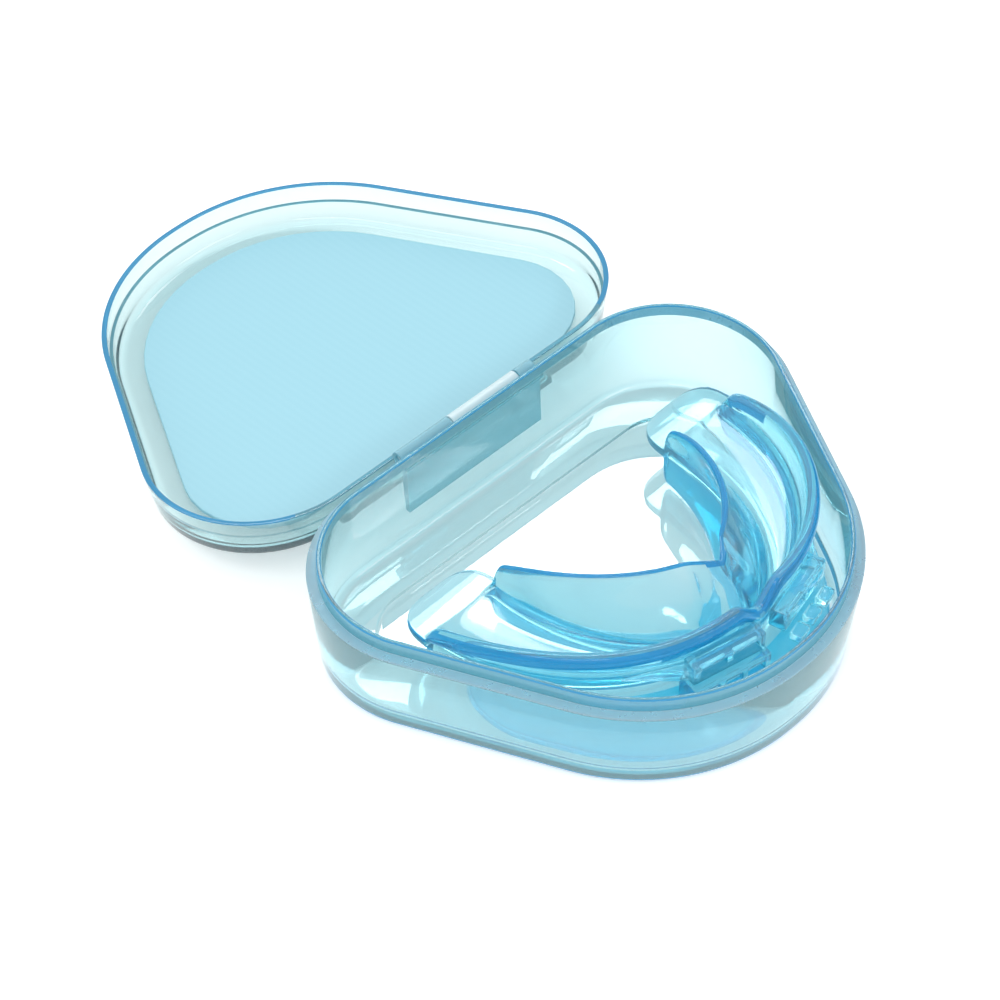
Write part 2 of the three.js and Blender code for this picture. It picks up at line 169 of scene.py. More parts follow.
def swept_wall(profile):
    """Sweeps a wall profile of (inset, z, corner rounding) once round the outline and closes both faces.

    The inset is measured inwards from the outline. The two ends of the profile become flat faces.
    """
    bm = bmesh.new()
    path = corner_path()
    start = path[-1][0]
    points = [bm.verts.new(place(start.x, start.y + BACK_RADIUS - inset, z)) for inset, z, _ in profile]
    for a, b in zip(points, points[1:]):
        bm.edges.new((a, b))
    for point, (_, _, rounding) in zip(points, profile):
        if rounding:
            bmesh.ops.bevel(bm, geom=[point], offset=rounding * MM, affect="VERTICES",
                            segments=4, profile=0.5, material=-1)
    last = bm.edges[:] + bm.verts[:]
    heading = 0.0
    here = start + Vector((0, BACK_RADIUS))
    radii = (BACK_RADIUS, FRONT_RADIUS, FRONT_RADIUS, BACK_RADIUS)
    for (centre, turn), radius in zip(path, radii):
        there = centre + radius * Vector((math.sin(-heading), math.cos(heading)))
        edges = [item for item in last if isinstance(item, bmesh.types.BMEdge)]
        run = bmesh.ops.extrude_edge_only(bm, edges=edges)["geom"]
        run = [item for item in run if not isinstance(item, bmesh.types.BMFace)]
        shift = (there - here) * MM
        bmesh.ops.translate(bm, vec=(shift.x, shift.y, 0),
                            verts=[item for item in run if isinstance(item, bmesh.types.BMVert)])
        last = bmesh.ops.spin(bm, geom=run, cent=place(centre.x, centre.y, 0), axis=UP, angle=turn,
                              steps=CORNER_STEPS)["geom_last"]
        heading += turn
        here = centre + radius * Vector((math.sin(-heading), math.cos(heading)))
    bmesh.ops.remove_doubles(bm, verts=bm.verts[:], dist=0.002 * MM)
    open_edges = [edge for edge in bm.edges if edge.is_boundary]
    bmesh.ops.holes_fill(bm, edges=open_edges, sides=0)
    bmesh.ops.recalc_face_normals(bm, faces=bm.faces[:])
    return bm


def facing_out(face):
    """True for a face of the base's wall that looks away from the middle of the base."""
    middle = place(0, BASE_MIDDLE_Y, 0)
    spot = face.calc_center_median()
    return face.normal.x * (spot.x - middle.x) + face.normal.y * (spot.y - middle.y) > 0


def carved(bm, cutter, operation):
    """Joins or cuts a second bmesh solid into the first one."""
    target, tool = as_object("work", bm), as_object("work", cutter)
    modifier = target.modifiers.new("carve", "BOOLEAN")
    modifier.operation = operation
    modifier.solver = "EXACT"
    modifier.object = tool
    result = worked(target)
    discard(tool)
    return result


def rod(radius, from_x, to_x, steps=48):
    """A rod along the hinge axis."""
    bm = bmesh.new()
    turn = Matrix.Rotation(math.pi / 2, 4, "Y")
    middle = Matrix.Translation(place((from_x + to_x) / 2, 0, 0) + Vector((0, 0, HINGE.z)))
    bmesh.ops.create_cone(bm, cap_ends=True, segments=steps, radius1=radius * MM, radius2=radius * MM,
                          depth=(to_x - from_x) * MM, matrix=middle @ turn)
    return bm


def hinge_clearance():
    """The round channel that both walls leave for the barrel."""
    reach = HINGE_HALF + HINGE_END_GAP
    return rod(BARREL_CLEARANCE, -reach, reach)


# ---------------------------------------------------------------- materials
CASE_DYE = (0.2, 0.75, 0.83)
GUARD_DYE = (0.04, 0.83, 0.93)
LEAF_DYE = (0.1, 0.7, 0.8)
# The two painted glow colours: faint emission that stands in for light the dye scatters back.
CASE_PAINTED_GLOW = (0.45, 0.92, 1.0)
BLUE_PAINTED_GLOW = (0.0, 0.62, 1.0)


def clear_plastic(name, density, tint, roughness, grain, frost, skin=(0.95, 0.98, 0.975), clear=0.94,
                  painted_glow=CASE_PAINTED_GLOW, painted_glow_strength=0.045, coat=0.0):
    """Polished clear plastic: a thin wall is nearly colourless and a long way through it is blue.

    density and tint are the dye inside; roughness, with up to frost more where it is smeared, and grain,
    the smears' fineness, are the gloss; skin is the colour of the surface and clear how far it lets light
    through; painted_glow, at painted_glow_strength, is a painted glow: a faint emission on the surface that
    stands in for light that the dye scatters back, so the plastic glows a little with no lamp on it.
    """
    material = bpy.data.materials.new(name)
    material.use_nodes = True
    nodes, links = material.node_tree.nodes, material.node_tree.links
    nodes.clear()
    output = nodes.new("ShaderNodeOutputMaterial")
    output.location = (900, 0)
    surface = nodes.new("ShaderNodeBsdfPrincipled")
    surface.label = "polished clear plastic"
    surface.location = (560, 120)
    surface.inputs["Base Color"].default_value = (*skin, 1)
    surface.inputs["Transmission Weight"].default_value = clear
    surface.inputs["IOR"].default_value = 1.49
    # Painted glow: a faint emission that stands in for light scattered in the dye.
    surface.inputs["Emission Color"].default_value = (*painted_glow, 1)
    surface.inputs["Emission Strength"].default_value = painted_glow_strength
    surface.inputs["Coat Weight"].default_value = coat
    surface.inputs["Coat Roughness"].default_value = 0.03
    surface.inputs["Coat IOR"].default_value = 1.85
    body = nodes.new("ShaderNodeVolumeAbsorption")
    body.label = "blue dye in the plastic"
    body.location = (560, -420)
    body.inputs["Color"].default_value = (*tint, 1)
    body.inputs["Density"].default_value = density
    links.new(surface.outputs["BSDF"], output.inputs["Surface"])
    links.new(body.outputs["Volume"], output.inputs["Volume"])

    gloss_frame = nodes.new("NodeFrame")
    gloss_frame.label = "handling marks in the gloss"
    where = nodes.new("ShaderNodeTexCoord")
    where.label = "place on the piece"
    where.location = (-640, 0)
    smears = nodes.new("ShaderNodeTexNoise")
    smears.label = "faint smears"
    smears.location = (-400, 80)
    smears.inputs["Scale"].default_value = grain
    smears.inputs["Detail"].default_value = 4
    levels = nodes.new("ShaderNodeMapRange")
    levels.label = "gloss varies a little"
    levels.location = (-160, 80)
    levels.inputs["From Min"].default_value = 0.35
    levels.inputs["From Max"].default_value = 0.75
    levels.inputs["To Min"].default_value = roughness
    levels.inputs["To Max"].default_value = roughness + frost
    links.new(where.outputs["Object"], smears.inputs["Vector"])
    links.new(smears.outputs["Fac"], levels.inputs["Value"])
    links.new(levels.outputs["Result"], surface.inputs["Roughness"])
    for node in (where, smears, levels):
        node.parent = gloss_frame

    ripple_frame = nodes.new("NodeFrame")
    ripple_frame.label = "moulding flow ripples"
    flow = nodes.new("ShaderNodeTexNoise")
    flow.label = "slow flow waves"
    flow.location = (-400, -260)
    flow.inputs["Scale"].default_value = 60
    flow.inputs["Detail"].default_value = 1
    ripple = nodes.new("ShaderNodeBump")
    ripple.label = "flow ripples"
    ripple.location = (-160, -260)
    ripple.inputs["Strength"].default_value = 0.05
    ripple.inputs["Distance"].default_value = 0.0005
    links.new(where.outputs["Object"], flow.inputs["Vector"])
    links.new(flow.outputs["Fac"], ripple.inputs["Height"])
    links.new(ripple.outputs["Normal"], surface.inputs["Normal"])
    for node in (flow, ripple):
        node.parent = ripple_frame
    return material


case_plastic = clear_plastic(
    "clear_case_plastic", density=200, tint=CASE_DYE, roughness=0.02, grain=90, frost=0.03)
lid_plastic = clear_plastic(
    "clear_lid_plastic", density=300, tint=CASE_DYE, roughness=0.02, grain=90, frost=0.03,
    skin=(0.9, 0.925, 0.915), painted_glow_strength=0.015)
guard_plastic = clear_plastic(
    "blue_guard_elastomer", density=225, tint=GUARD_DYE, roughness=0.03, grain=140, frost=0.04,
    skin=(0.92, 0.99, 1.0), clear=0.93, painted_glow=BLUE_PAINTED_GLOW, painted_glow_strength=0.04)
# Painted shade: a deeper blue copy of the guard plastic for the beads and the inner edge, standing in for the
# deep blue that a long path along an edge gives.
bead_painted_shade = clear_plastic(
    "guard_bead_painted_shade", density=215, tint=GUARD_DYE, roughness=0.03, grain=140, frost=0.04,
    skin=(0.05, 0.45, 0.82), clear=0.75, painted_glow=BLUE_PAINTED_GLOW, painted_glow_strength=0.04)
# Painted light: a bluer copy of the guard plastic with a stronger painted glow, so the skirt shows brighter.
skirt_painted_light = clear_plastic(
    "guard_skirt_painted_light", density=215, tint=GUARD_DYE, roughness=0.03, grain=140, frost=0.04,
    skin=(0.3, 0.85, 1.0), clear=0.8, painted_glow=BLUE_PAINTED_GLOW, painted_glow_strength=0.1)
floor_plastic = clear_plastic(
    "polished_case_floor", density=200, tint=CASE_DYE, roughness=0.01, grain=90, frost=0.02, coat=1.0)
# Painted highlight: a pale, half-opaque copy of the case plastic for the hinge barrel, standing in for the
# white highlight along its top.
barrel_painted_highlight = clear_plastic(
    "hinge_barrel_painted_highlight", density=210, tint=CASE_DYE, roughness=0.08, grain=300, frost=0.1,
    skin=(0.85, 0.94, 0.97), clear=0.45)
# Painted shade: a darker blue copy of the case plastic for the rims, the lip's edge and the heel, standing in
# for the deep blue that a long path along an edge gives.
rim_painted_shade = clear_plastic(
    "blue_rim_painted_shade", density=300, tint=CASE_DYE, roughness=0.1, grain=120, frost=0.08,
    skin=(0.06, 0.4, 0.75), clear=0.5, painted_glow=BLUE_PAINTED_GLOW, painted_glow_strength=0.04)
# Painted shade: a teal copy of the lid plastic for the rebate step, standing in for the teal line that light
# makes along it.
step_painted_shade = clear_plastic(
    "teal_step_painted_shade", density=300, tint=CASE_DYE, roughness=0.08, grain=120, frost=0.08,
    skin=(0.28, 0.65, 0.76), clear=0.6, painted_glow=BLUE_PAINTED_GLOW, painted_glow_strength=0.04)
# Painted light and shade: a bluer copy of the case plastic with a stronger painted glow for the lip's outer
# side and the lid's rim by the hinge, standing in for the cyan lines that light makes there.
lip_painted_light = clear_plastic(
    "lip_side_painted_light", density=200, tint=CASE_DYE, roughness=0.04, grain=120, frost=0.04,
    skin=(0.45, 0.85, 1.0), clear=0.8, painted_glow=BLUE_PAINTED_GLOW, painted_glow_strength=0.08)
ledge_plastic = clear_plastic(
    "frosted_ledge", density=210, tint=CASE_DYE, roughness=0.25, grain=700, frost=0.3,
    skin=(0.66, 0.88, 1.0), clear=0.68)
leaf_plastic = clear_plastic(
    "hinge_leaf_plastic", density=500, tint=LEAF_DYE, roughness=0.05, grain=120, frost=0.05,
    skin=(0.42, 0.7, 0.8), clear=0.6)


def liner_film():
    """Pale blue film with fine ribs that run away from the hinge."""
    material = bpy.data.materials.new("ribbed_liner_film")
    material.use_nodes = True
    nodes, links = material.node_tree.nodes, material.node_tree.links
    nodes.clear()
    output = nodes.new("ShaderNodeOutputMaterial")
    output.location = (900, 0)
    surface = nodes.new("ShaderNodeBsdfPrincipled")
    surface.label = "pale blue film"
    surface.location = (560, 0)
    surface.inputs["Roughness"].default_value = 0.35
    where = nodes.new("ShaderNodeTexCoord")
    where.label = "place on the piece"
    where.location = (-760, 0)
    ribs = nodes.new("ShaderNodeTexWave")
    ribs.label = "fine ribs across the hinge"
    ribs.location = (-500, 0)
    ribs.bands_direction = "X"
    ribs.inputs["Scale"].default_value = 260
    ribs.inputs["Distortion"].default_value = 0.2
    ribs.inputs["Detail"].default_value = 1
    # Painted shade: the film is barely darker in the grooves between the ribs, following the rib relief.
    rib_painted_shade = nodes.new("ShaderNodeValToRGB")
    rib_painted_shade.label = "ribs barely darker"
    rib_painted_shade.location = (-200, 120)
    rib_painted_shade.color_ramp.elements[0].color = (0.3, 0.59, 0.7, 1)
    rib_painted_shade.color_ramp.elements[1].color = (0.308, 0.598, 0.707, 1)
    relief = nodes.new("ShaderNodeBump")
    relief.label = "rib relief"
    relief.location = (200, -200)
    relief.inputs["Strength"].default_value = 0.03
    relief.inputs["Distance"].default_value = 0.0001
    links.new(where.outputs["Object"], ribs.inputs["Vector"])
    links.new(ribs.outputs["Fac"], rib_painted_shade.inputs["Fac"])
    links.new(rib_painted_shade.outputs["Color"], surface.inputs["Base Color"])
    links.new(ribs.outputs["Fac"], relief.inputs["Height"])
    links.new(relief.outputs["Normal"], surface.inputs["Normal"])
    links.new(surface.outputs["BSDF"], output.inputs["Surface"])
    return material


def drawn_wire():
    """Bright steel wire with drawing marks round it."""
    material = bpy.data.materials.new("drawn_steel_wire")
    material.use_nodes = True
    nodes, links = material.node_tree.nodes, material.node_tree.links
    nodes.clear()
    output = nodes.new("ShaderNodeOutputMaterial")
    output.location = (600, 0)
    surface = nodes.new("ShaderNodeBsdfPrincipled")
    surface.label = "bright steel"
    surface.location = (300, 0)
    surface.inputs["Base Color"].default_value = (0.72, 0.75, 0.78, 1)
    surface.inputs["Metallic"].default_value = 1.0
    where = nodes.new("ShaderNodeTexCoord")
    where.label = "place on the piece"
    where.location = (-600, 0)
    marks = nodes.new("ShaderNodeTexNoise")
    marks.label = "drawing marks"
    marks.location = (-360, 0)
    marks.inputs["Scale"].default_value = 900
    levels = nodes.new("ShaderNodeMapRange")
    levels.label = "marks dull the shine"
    levels.location = (-100, 0)
    levels.inputs["To Min"].default_value = 0.2
    levels.inputs["To Max"].default_value = 0.4
    links.new(where.outputs["Object"], marks.inputs["Vector"])
    links.new(marks.outputs["Fac"], levels.inputs["Value"])
    links.new(levels.outputs["Result"], surface.inputs["Roughness"])
    links.new(surface.outputs["BSDF"], output.inputs["Surface"])
    return material


# ---------------------------------------------------------------- case base
def case_base():
    """The tray: leaning wall, ledge and lip for the lid, and a floor with a sunken panel."""
    panel_z = BASE_FLOOR - PANEL_DEPTH
    bm = swept_wall([
        (PANEL_INSET + 0.4, 0.0, 0),
        (FOOT_INSET, 0.0, 0.9),
        (0.0, LEDGE_Z, 0.25),
        (LIP_INSET, LEDGE_Z, 0.15),
        (LIP_INSET, LIP_TOP, 0.25),
        (LIP_INNER, LIP_TOP, 0.2),
        (FLOOR_INSET, BASE_FLOOR, 1.6),
        (PANEL_INSET, BASE_FLOOR, 0.1),
        (PANEL_INSET + 0.3, panel_z, 0.1),
        (PANEL_INSET + 0.9, panel_z, 0),
    ])
    bm = carved(bm, hinge_clearance(), "DIFFERENCE")
    lip_edge_z = LIP_TOP - 0.25

    # The heel is the wall's rounded foot, and its painted shade, a deeper blue, starts some way from the hinge.
    heel_top = 0.8
    heel_start = 12

    def on_ledge(face):
        height = face.calc_center_median().z
        return abs(height - (LEDGE_Z - 0.1) * MM) < 0.2 * MM and face.normal.z > 0.2

    def on_lip_edge(face):
        return face.calc_center_median().z > lip_edge_z * MM and face.normal.z < 0.97

    def on_lip_side(face):
        height = face.calc_center_median().z / MM
        return LEDGE_Z + 0.1 < height < lip_edge_z and facing_out(face)

    def on_heel(face):
        spot = face.calc_center_median()
        rounded = spot.z < heel_top * MM and face.normal.z > -0.9
        return rounded and facing_out(face) and spot.y < HINGE.y - heel_start * MM

    def on_floor(face):
        return face.calc_center_median().z < (BASE_FLOOR + 0.1) * MM and face.normal.z > 0.9

    # The lip's edge and the heel take painted shade, a deeper blue. The lip's side takes painted light, a bluer
    # tint with a stronger painted glow.
    piece = finished("clear_base", bm, "base", case_plastic, zones=(
        (ledge_plastic, on_ledge),
        (rim_painted_shade, on_lip_edge),
        (lip_painted_light, on_lip_side),
        (rim_painted_shade, on_heel),
        (floor_plastic, on_floor),
    ))
    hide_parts("case_base")
    return piece


# ---------------------------------------------------------------- case lid
def case_lid():
    """The lid, drawn shut on the base with its knuckle and then turned open about the hinge."""
    ceiling = RIM_Z + LID_CEILING
    top = RIM_Z + LID_HEIGHT
    step_z = RIM_Z + REBATE_DEPTH
    bm = swept_wall([
        (LID_MIDDLE_INSET, ceiling, 0),
        (LID_WALL_INNER + CEILING_LEAN, ceiling, 1.6),
        (LID_WALL_INNER, step_z, 0.1),
        (LID_RIM_INNER, step_z, 0.05),
        (LID_RIM_INNER, RIM_Z, 0.15),
        (LID_INSET, RIM_Z, 0.15),
        (LID_INSET + LID_LEAN, top, 1.2),
        (LID_MIDDLE_INSET, top, 0),
    ])
    bm = carved(bm, hinge_clearance(), "DIFFERENCE")
    bm = carved(bm, lid_knuckle(), "UNION")
    bmesh.ops.rotate(bm, cent=HINGE, matrix=Matrix.Rotation(-OPEN_ANGLE, 3, "X"), verts=bm.verts[:])
    shut = Matrix.Translation(HINGE) @ Matrix.Rotation(OPEN_ANGLE, 4, "X") @ Matrix.Translation(-HINGE)

    def near_height(face, z, reach):
        """True for a face of the swept wall that lies within reach of a height, with the lid shut."""
        spot = shut @ face.calc_center_median()
        return abs(spot.z - z * MM) < reach * MM and spot.y < HINGE.y - BACK_GAP * MM

    def on_rim(face):
        return near_height(face, RIM_Z, 0.16)

    def on_step(face):
        return near_height(face, step_z, 0.12)

    def on_hinge_rim(face):
        spot = shut @ face.calc_center_median()
        return on_rim(face) and spot.y > HINGE.y - 3 * MM

    def on_knuckle(face):
        spot = face.calc_center_median() - HINGE
        return spot.yz.length < (BARREL_RADIUS + 0.05) * MM

    # The rim and the step take painted shade, the rim by the hinge painted light, and the knuckle a painted
    # highlight.
    piece = finished("clear_lid", bm, "lid", lid_plastic, zones=(
        (rim_painted_shade, on_rim),
        (step_painted_shade, on_step),
        (lip_painted_light, on_hinge_rim),
        (barrel_painted_highlight, on_knuckle),
    ))
    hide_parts("case_lid")
    return piece


def lid_knuckle():
    """The lid's barrel with the web that joins it to the back wall, drawn with the lid shut."""
    axis_z = HINGE.z / MM
    bm = bmesh.new()
    web = [(-1.5, 0.85), (-0.9, 0.6), (-0.35, 1.0), (-0.75, 1.6), (-0.85, 2.8), (-1.5, 3.2)]
    points = [bm.verts.new(place(LID_KNUCKLE[0], y, axis_z + z)) for y, z in web]
    face = bm.faces.new(points)
    grown = bmesh.ops.extrude_face_region(bm, geom=[face])["geom"]
    length = (LID_KNUCKLE[1] - LID_KNUCKLE[0]) * MM
    bmesh.ops.translate(bm, vec=(length, 0, 0),
                        verts=[item for item in grown if isinstance(item, bmesh.types.BMVert)])
    bmesh.ops.recalc_face_normals(bm, faces=bm.faces[:])
    bm = carved(bm, rod(BARREL_RADIUS, *LID_KNUCKLE), "UNION")
    return carved(bm, rod(PIN_BORE_RADIUS, LID_KNUCKLE[0] - 1, LID_KNUCKLE[1] + 1, 24), "DIFFERENCE")


# ---------------------------------------------------------------- mouthguard
# Where it stands, and its two arches as (half width, depth, squareness).
GUARD_CENTRE = Vector((2.1, -21.2))
GUARD_TURN = math.radians(2.0)
OUTER_ARCH = (31.1, 32.4, 2.08)
INNER_ARCH = (16.6, 21.6, 1.7)
ARCH_TRAVEL = 30.0

# The bite web, flat tabs at the arms' ends, and how far from them the walls reach full height.
WEB_BACK = 7.5
WEB_FRONT = 8.5
WEB_HALF = 0.7
TAB_LENGTH = 6.0
TAB_END_SHARE = 0.12
WALL_END = 1.6

# Heights of the walls, the rise at the front and the notch for the lip's fold.
GUARD_BOTTOM = 1.7
OUTER_TOP_BACK = 10.2
OUTER_TOP_FRONT = 16.2
FRONT_RISE = 1.3
NOTCH_DEPTH = 3.4
NOTCH_HALF = 3.8
INNER_TOP_BACK = 11.4
INNER_TOP_RISE = 7.2

# How the walls lean and spread, and how full their beads are.
FRONT_LEAN = 0.9
OUTER_FOOT = 2.3
INNER_FOOT = 1.3
INNER_FOOT_SPREAD = 6.3
INNER_FOOT_WALL = 2.1
UPPER_BEAD = 1.0
LOWER_BEAD = 0.45
SKIRT_GROWTH = 8.8
SKIRT_TUCK = 0.7
SKIRT_WALL_GAP = 1.4
FOLD_DEPTH = 2.6

# The slotted blocks: each is (size, middle), measured from the middle of its own side.
BLOCK_ASIDE = 7.2
BLOCK_AHEAD = -31.6
BLOCK_TURN = math.radians(13)
BLOCKS = (((11.6, 2.6, 3.4), (0, -0.5, 12.0)), ((12.4, 3.8, 4.6), (0, -0.9, 8.0)))
BLOCK_ROUNDING = 0.3
UPPER_SLOT = (4.3, 1.5, 1.4)
LOWER_SLOT = (2.9, 1.9, 1.5)
SLOT_ROUNDING = 0.4
TAIL_PLACE = (15.2, -27.6, 10.6)
TAIL_TURN = math.radians(36)
TAIL_LENGTH = 10.0
TAIL_RADII = (1.5, 0.15)


def mix(a, b, share):
    """The value a share of the way from a to b."""
    return a + (b - a) * share


def outer_crest(front):
    """Height of the outer wall's bead, apart from the rise and the notch. front is 1 at the front."""
    return mix(OUTER_TOP_BACK, OUTER_TOP_FRONT, 1 - (1 - front) ** 2.3)


def inner_crest(front):
    """Height of the inner wall's edge, which climbs fast from the arm's end."""
    return INNER_TOP_BACK + INNER_TOP_RISE * front ** 0.65


def arch_point(arch, turn):
    """A point on an arch of (half width, depth, squareness): turn 0 is an arm's end, pi/2 the front."""
    half_width, depth, power = arch
    return Vector((half_width * max(math.cos(turn), 0) ** (2 / power),
                   -depth * math.sin(turn) ** (2 / power)))


def room_in_case(x, y):
    """How far a point lies inside the case outline, measured at its front corners and sides."""
    from_centre = Vector((max(0, abs(x) - FRONT_CENTRE_X), y - FRONT_CENTRE_Y + BACK_GAP))
    side_x, side_y = math.cos(SIDE_ANGLE), math.sin(SIDE_ANGLE)
    if from_centre.x * side_y - from_centre.y * side_x > 0:
        return FRONT_RADIUS - from_centre.length
    return FRONT_RADIUS - from_centre.x * side_x - from_centre.y * side_y


def on_guard(side, point):
    """Sets a plan point of the right-hand arm on its side of the guard, where the guard stands."""
    return GUARD_CENTRE + Matrix.Rotation(GUARD_TURN, 2) @ Vector((side * point.x, point.y))


def guard_section(side, back, turn):
    """The upper and the lower half of one section, each a list of (plan point, z).

    A half runs from the web's outer face, over the outer wall, along the channel's floor and over the inner
    wall to the web's tongue side. back is 1 at the tip of an arm's flat tab and 0 where the walls start.
    """
    outer, inner = arch_point(OUTER_ARCH, turn), arch_point(INNER_ARCH, turn)
    inward = (inner - outer).normalized()
    front = math.sin(turn)
    web = mix(WEB_BACK, WEB_FRONT, front)
    ending = min(ARCH_TRAVEL * turn / WALL_END, 1)
    rise = math.sqrt(1 - (1 - ending) ** 2) if back == 0 else 0
    outer_top = outer_crest(front) + FRONT_RISE * front ** 12
    outer_top -= NOTCH_DEPTH * max(0, 1 - abs(outer.x) / NOTCH_HALF) ** 0.8
    inner_top = inner_crest(front)
    lean = FRONT_LEAN * front
    foot = INNER_FOOT + INNER_FOOT_SPREAD * front ** 1.4
    tongue = max(0, foot - INNER_FOOT_WALL)
    gap = (outer - inner).length
    outer_foot = OUTER_FOOT + lean / 2
    floor_width = gap - foot - outer_foot
    room = room_in_case(*on_guard(side, outer)) - LIP_INNER - SKIRT_WALL_GAP
    skirt = min(SKIRT_GROWTH * front - SKIRT_TUCK, room + 0.3)

    # Each half: which way it grows, the ends of its walls, its bead's fullness, how far its outer wall spreads,
    # and three heights on that wall, from its end inwards.
    upper = (1, outer_top, inner_top, UPPER_BEAD, 0.0,
             outer_top - 0.3, outer_top - 1.4, outer_top - 2.8)
    lower = (-1, GUARD_BOTTOM, GUARD_BOTTOM, LOWER_BEAD, skirt,
             GUARD_BOTTOM + 0.15, GUARD_BOTTOM + 1.0, mix(web, GUARD_BOTTOM, 0.5))
    halves = []
    for way, outer_end, inner_end, bead, spread, near, high, low in (upper, lower):
        face = web + way * WEB_HALF
        # Each point: the arch that it is measured from, its distance in from that arch with the wall at full
        # height and with no wall, and its z in the same two cases.
        walls = [
            ("outer", 0.9 + lean, 0.0, web, web),
            ("outer", 0.9 + lean, 0.05, web + way * 1.4, web + way * 0.5),
            ("outer", 0.4 + 0.6 * (1 - bead) + lean / 2 - spread * 0.45, 0.3, low, face),
            ("outer", 0.6 - 0.65 * bead - spread * 0.85, 0.6, high, face),
            ("outer", 0.7 - 0.45 * bead - spread, 0.9, near, face),
            ("outer", 1.15 - spread, 1.3, outer_end, face),
            ("outer", 1.6 + 0.45 * bead - spread * 0.6, 1.7, near, face),
            ("outer", 1.75 + 0.6 * bead - spread * 0.3, 2.1, high, face),
            ("outer", 2.0 + 0.1 * bead - spread * 0.1, 2.5, low, face),
            ("outer", outer_foot, 2.9, face + way * 1.3, face),
            ("outer", outer_foot + min(0.6, 0.15 * floor_width), 3.3, face + way * 0.35, face),
            ("outer", outer_foot + min(1.6, 0.35 * floor_width), 3.9, face, face),
            ("inner", foot + min(0.9, 0.35 * floor_width), 4.0, face, face),
            ("inner", foot, 3.4, face + way * 0.4, face),
        ]
        for share, flat in ((0.15, 3.0), (0.3, 2.7), (0.45, 2.4), (0.6, 2.1), (0.75, 1.8), (0.88, 1.5)):
            walls.append(("inner", mix(foot, INNER_FOOT, share), flat,
                          mix(face + way * 0.4, inner_end - way * 1.2, share ** 1.1), face))
        walls += [
            ("inner", 1.25, 1.2, inner_end - way * 0.9, face),
            ("inner", 0.95, 0.9, inner_end - way * 0.15, face),
            ("inner", 0.5, 0.6, inner_end, face),
            ("inner", 0.05, 0.35, inner_end - way * 0.25, face),
            ("inner", -0.1, 0.2, inner_end - way * 1.0, face),
            ("inner", 0.45 * tongue, 0.08, mix(web, inner_end, 0.5), face),
            ("inner", tongue, 0.03, web + way * 0.9, web + way * 0.5),
            ("inner", tongue, 0.0, web, web),
        ]
        half = []
        for wall, raised, flat, raised_z, flat_z in walls:
            distance = mix(flat, raised, rise)
            z = mix(flat_z, raised_z, rise)
            point = outer + inward * distance if wall == "outer" else inner - inward * distance
            half.append((folded(point, wall, z, web, inner_end, front), z))
        halves.append(half)

    # Towards an arm's end the section narrows and thins into the flat tab.
    middle = (outer + inner) / 2
    narrowing = (1 - back ** 3) ** (1 / 2.4)
    thinning = 1 - back ** 6
    for half in halves:
        for i, (point, z) in enumerate(half):
            across = (point - middle) * mix(TAB_END_SHARE, 1, narrowing)
            half[i] = (middle + across + Vector((0, back * TAB_LENGTH)), mix(web, z, thinning))
    return halves


def folded(point, wall, z, web, top, front):
    """Folds the inner wall forward in a leaf-shaped ridge at the very front."""
    if wall == "outer" or front < 0.7 or abs(top - web) < 1:
        return point
    height = max(0.0, min(1.0, (z - web) / (top - web)))
    half_width = mix(2.2, 8.5, math.sin(math.pi * min(1, (1 - height) * 1.15 + 0.02)) ** 0.7)
    across = abs(point.x) / half_width
    if across >= 1:
        return point
    fold = (1 - across) if height > 0.9 else (1 - across ** 2) ** 0.6
    return point + Vector((0, -FOLD_DEPTH * fold))


def guard_arch():
    """The two facing channels on one bite web, drawn out section by section round the arch."""
    tab = (1.0, 0.985, 0.94, 0.86, 0.74, 0.58, 0.4, 0.22, 0.08, 0.0)
    arm = (0.15, 0.5, 1.0, 1.8, 3.2, 5, 8, 12, *range(16, 66, 5), 65, 69, 72, 75, 77.5, 80, 82, 84, 85.5, 87,
           88.5, 90)
    stations = [(back, 0.0) for back in tab] + [(0.0, math.radians(degrees)) for degrees in arm]
    plan = [(station, 1) for station in stations] + [(station, -1) for station in reversed(stations[:-1])]
    bm = bmesh.new()
    order = bm.verts.layers.int.new("order")

    def ring(station, side):
        """The whole section at a station, in order round it."""
        upper, lower = guard_section(side, *station)
        return [place(*on_guard(side, point), z) for point, z in upper + lower[-2:0:-1]]

    verts = [bm.verts.new(spot) for spot in ring(*plan[0])]
    for i, vert in enumerate(verts):
        vert[order] = i
    edges = [bm.edges.new((verts[i - 1], verts[i])) for i in range(len(verts))]
    for station, side in plan[1:]:
        drawn = bmesh.ops.extrude_edge_only(bm, edges=edges)["geom"]
        places = ring(station, side)
        for item in drawn:
            if isinstance(item, bmesh.types.BMVert):
                item.co = places[item[order]]
        edges = [item for item in drawn if isinstance(item, bmesh.types.BMEdge)]
        edges = [edge for edge in edges if len(edge.link_faces) == 1]
    bmesh.ops.remove_doubles(bm, verts=bm.verts[:], dist=0.003 * MM)
    bmesh.ops.recalc_face_normals(bm, faces=bm.faces[:])
    return bm


